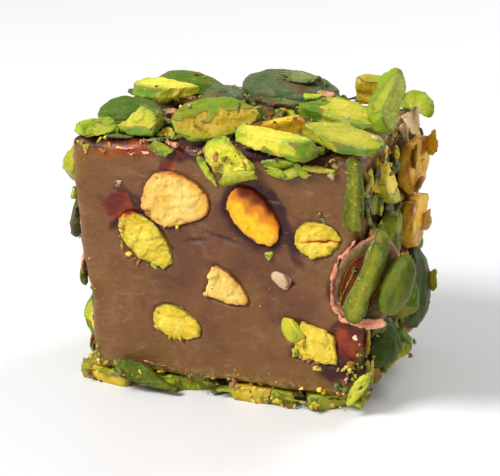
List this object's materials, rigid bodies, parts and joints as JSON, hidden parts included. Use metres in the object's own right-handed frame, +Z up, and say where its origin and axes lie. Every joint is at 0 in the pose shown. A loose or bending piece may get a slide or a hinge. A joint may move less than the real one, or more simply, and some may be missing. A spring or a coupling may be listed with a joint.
{
  "type": "turkish delight",
  "caption": "Square-cut piece of amber jelly sweet with whole pistachio kernels showing in its cut faces and chopped pistachio on its top, base and sides.",
  "frame": {"origin": "middle of the outline's base, on the surface that the piece stands on", "axes": "+Z up; +X to the right as seen from the front, along the longer side; the front cut face looks towards -Y"},
  "size_m": [0.0514, 0.0338, 0.0431],
  "materials": {
    "amber": "translucent, satin",
    "cream": "matt",
    "yellow": "matt",
    "lime": "matt",
    "green": "matt",
    "dark": "matt",
    "gold": "matt",
    "skin": "matt"
  },
  "bodies": {
    "root": {"back_kernel_01": "cream", "back_kernel_02": "yellow", "back_kernel_03": "yellow", "back_kernel_04": "gold", "back_kernel_05": "cream", "base_nut_01": "yellow", "base_nut_02": "green", "base_nut_03": "yellow", "base_nut_04": "lime", "base_nut_05": "green", "base_nut_06": "lime", "base_nut_07": "green", "base_nut_08": "yellow", "front_kernel_01": "cream", "front_kernel_02": "yellow", "front_kernel_03": "yellow", "front_kernel_04": "yellow", "front_kernel_05": "cream", "front_kernel_06": "yellow", "front_kernel_07": "yellow", "front_kernel_08": "lime", "front_kernel_09": "skin", "front_nut_01": "lime", "front_nut_02": "green", "front_nut_03": "green", "front_nut_04": "green", "jelly": "amber", "left_nut_01": "yellow", "left_nut_02": "lime", "left_nut_03": "lime", "left_nut_04": "lime", "left_nut_05": "lime", "left_nut_06": "dark", "left_nut_07": "green", "left_nut_08": "yellow", "right_nut_01": "gold", "right_nut_02": "gold", "right_nut_03": "yellow", "right_nut_04": "green", "right_nut_05": "lime", "right_nut_06": "green", "right_nut_07": "lime", "right_nut_08": "dark", "top_nut_01": "green", "top_nut_02": "lime", "top_nut_03": "yellow", "top_nut_04": "lime", "top_nut_05": "lime", "top_nut_06": "lime", "top_nut_07": "dark", "top_nut_08": "lime", "top_nut_09": "green", "top_nut_10": "skin", "top_nut_11": "lime", "top_nut_12": "dark", "top_nut_13": "lime", "top_nut_14": "green", "top_nut_15": "green", "top_nut_16": "yellow", "top_nut_17": "green"}
  },
  "joints": []
}
